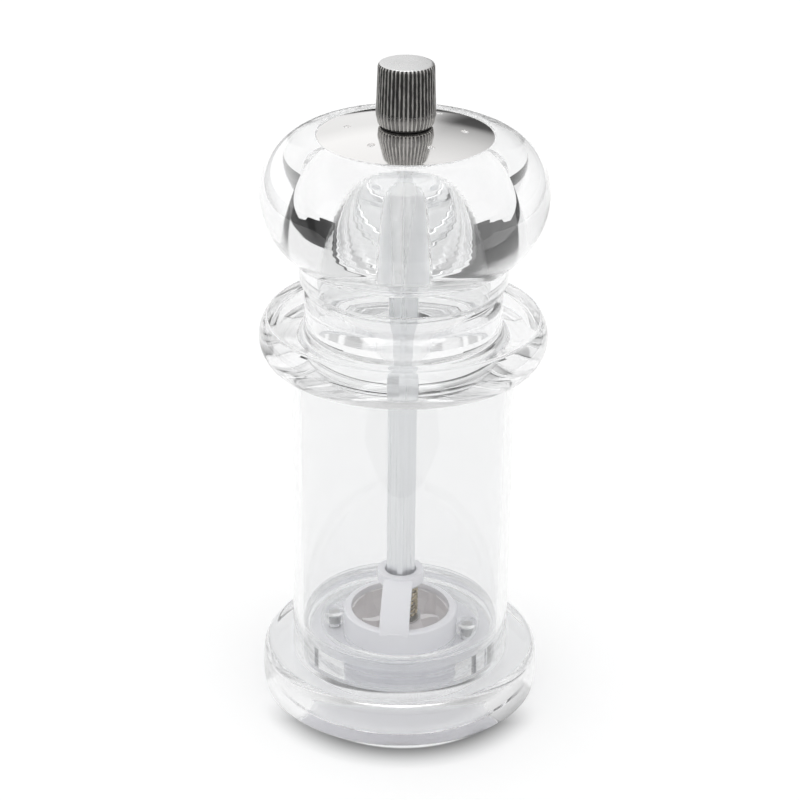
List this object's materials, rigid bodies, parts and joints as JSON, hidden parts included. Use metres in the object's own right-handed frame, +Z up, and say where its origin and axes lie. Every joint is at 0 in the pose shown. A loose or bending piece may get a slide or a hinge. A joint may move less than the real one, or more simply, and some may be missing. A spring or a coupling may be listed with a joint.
{
  "type": "pepper mill",
  "caption": "Tall clear acrylic pepper mill: turning the rounded head grinds into a footed barrel, a knurled knob sets coarseness, and the hollow head shakes salt through a domed metal disc.",
  "frame": {"origin": "centre of the foot's bottom face, on the turning axis", "axes": "+Z up along the turning axis; -Y is the front"},
  "size_m": [0.0606, 0.0606, 0.1422],
  "materials": {
    "acrylic": "polished clear acrylic",
    "steel": "polished stainless steel",
    "knob_metal": "knurled, nickel plated, satin top",
    "brass": "turned brass",
    "seal": "matte dark rubber",
    "bar": "drawn aluminium bar",
    "white_plastic": "white moulded plastic",
    "ceramic": "white technical ceramic",
    "spring_steel": "plated spring wire",
    "fixing_steel": "stamped and turned steel"
  },
  "bodies": {
    "barrel": {"barrel": "acrylic", "foot": "acrylic", "grinder_carrier": "white_plastic", "stator": "ceramic", "base_plate": "white_plastic", "carrier_screws": "fixing_steel"},
    "drive_washer": {"drive_washer": "fixing_steel"},
    "spindle": {"drive_shaft": "bar", "rotor": "ceramic", "rotor_washer": "fixing_steel", "rotor_screw": "fixing_steel", "spring_seat": "fixing_steel", "spring": "spring_steel"},
    "head": {"salt_head": "acrylic"},
    "disc": {"shaker_disc": "steel"},
    "knob_washer": {"knob_washer": "seal"},
    "knob": {"knob": "knob_metal", "knob_insert": "brass"}
  },
  "joints": [
    {"name": "head_turn", "type": "hinge", "parent": "barrel", "child": "drive_washer", "pos_m": [0, 0, 0.0246], "axis": [0, 0, 1], "continuous": true},
    {"name": "rotor_feed", "type": "slide", "parent": "drive_washer", "child": "spindle", "axis": [0, 0, 1], "range_m": [-0.0014, 0], "deforming": ["spring"]},
    {"name": "head_lift", "type": "slide", "parent": "drive_washer", "child": "head", "axis": [0, 0, 1], "range_m": [0, 0.045]},
    {"name": "disc_lift", "type": "slide", "parent": "head", "child": "disc", "axis": [0, 0, 1], "range_m": [0, 0.02]},
    {"name": "knob_lift", "type": "slide", "parent": "disc", "child": "knob_washer", "axis": [0, 0, 1], "range_m": [0, 0.015]},
    {"name": "knob_turn", "type": "hinge", "parent": "knob_washer", "child": "knob", "pos_m": [0, 0, 0.1295], "axis": [0, 0, 1], "range_deg": [0, 720]}
  ],
  "couplings": [
    {"joint": "rotor_feed", "follows": "knob_turn", "m_per_rad": -0.00011141}
  ]
}
